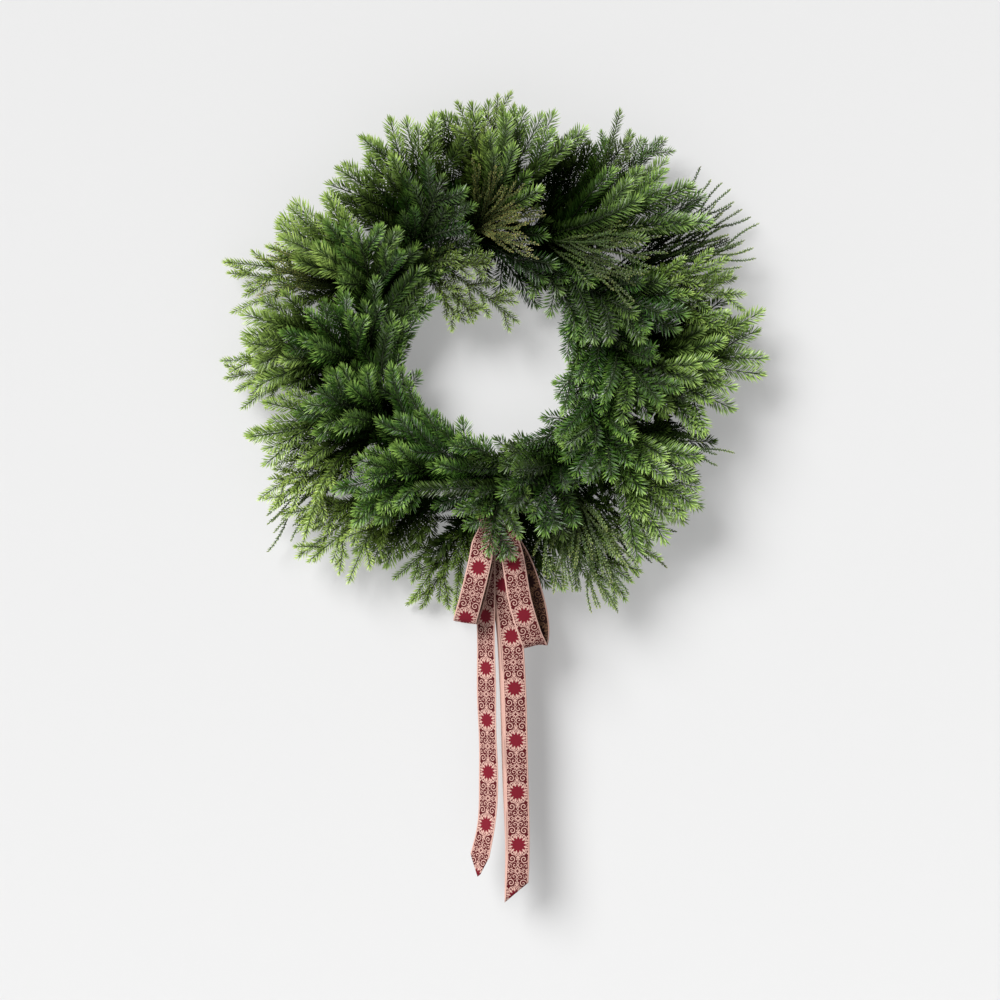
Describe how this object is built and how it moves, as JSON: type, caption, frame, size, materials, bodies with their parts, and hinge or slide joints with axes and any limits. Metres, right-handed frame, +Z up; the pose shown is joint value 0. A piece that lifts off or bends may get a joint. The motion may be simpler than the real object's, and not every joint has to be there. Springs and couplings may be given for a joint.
{
  "type": "evergreen wreath",
  "caption": "Round wreath of fir, spruce and cypress sprays clamped to a wire ring, with a patterned ribbon bow whose tails hang below.",
  "frame": {"origin": "flat spot of the hanging loop's inner top, which rests on the hook", "axes": "+Z up, -Y towards the viewer, +Y towards the wall, +X to the viewer's right"},
  "size_m": [0.6219, 0.1033, 0.9143],
  "materials": {
    "fir": "dark green needles, slightly waxy",
    "spruce": "light green needles, matte",
    "cypress": "olive green scales, matte",
    "ribbon": "printed ribbon, burgundy and cream",
    "ring_wire": "dark green lacquer, satin"
  },
  "bodies": {
    "root": {"cypress_spray_01_4": "cypress", "cypress_spray_02_1": "cypress", "cypress_spray_02_2": "cypress", "cypress_spray_04_2": "cypress", "cypress_spray_05_1": "cypress", "cypress_spray_05_3": "cypress", "cypress_spray_08_1": "cypress", "cypress_spray_10_2": "cypress", "cypress_spray_12_4": "cypress", "fir_spray_01_1": "fir", "fir_spray_01_3": "fir", "fir_spray_01_5": "fir", "fir_spray_02_4": "fir", "fir_spray_02_5": "fir", "fir_spray_03_1": "fir", "fir_spray_03_2": "fir", "fir_spray_03_3": "fir", "fir_spray_03_4": "fir", "fir_spray_03_5": "fir", "fir_spray_04_1": "fir", "fir_spray_04_3": "fir", "fir_spray_04_4": "fir", "fir_spray_04_5": "fir", "fir_spray_05_4": "fir", "fir_spray_05_5": "fir", "fir_spray_06_2": "fir", "fir_spray_06_3": "fir", "fir_spray_06_4": "fir", "fir_spray_07_1": "fir", "fir_spray_07_3": "fir", "fir_spray_07_4": "fir", "fir_spray_08_3": "fir", "fir_spray_08_4": "fir", "fir_spray_08_5": "fir", "fir_spray_09_2": "fir", "fir_spray_09_3": "fir", "fir_spray_09_4": "fir", "fir_spray_10_3": "fir", "fir_spray_10_4": "fir", "fir_spray_10_5": "fir", "fir_spray_11_1": "fir", "fir_spray_11_2": "fir", "fir_spray_11_3": "fir", "fir_spray_12_1": "fir", "fir_spray_12_3": "fir", "fir_spray_12_5": "fir", "hanging_loop": "ring_wire", "ribbon_bow": "ribbon", "ring_frame": "ring_wire", "spruce_spray_01_2": "spruce", "spruce_spray_02_3": "spruce", "spruce_spray_05_2": "spruce", "spruce_spray_06_1": "spruce", "spruce_spray_07_2": "spruce", "spruce_spray_08_2": "spruce", "spruce_spray_09_1": "spruce", "spruce_spray_10_1": "spruce", "spruce_spray_11_4": "spruce", "spruce_spray_12_2": "spruce"}
  },
  "joints": []
}
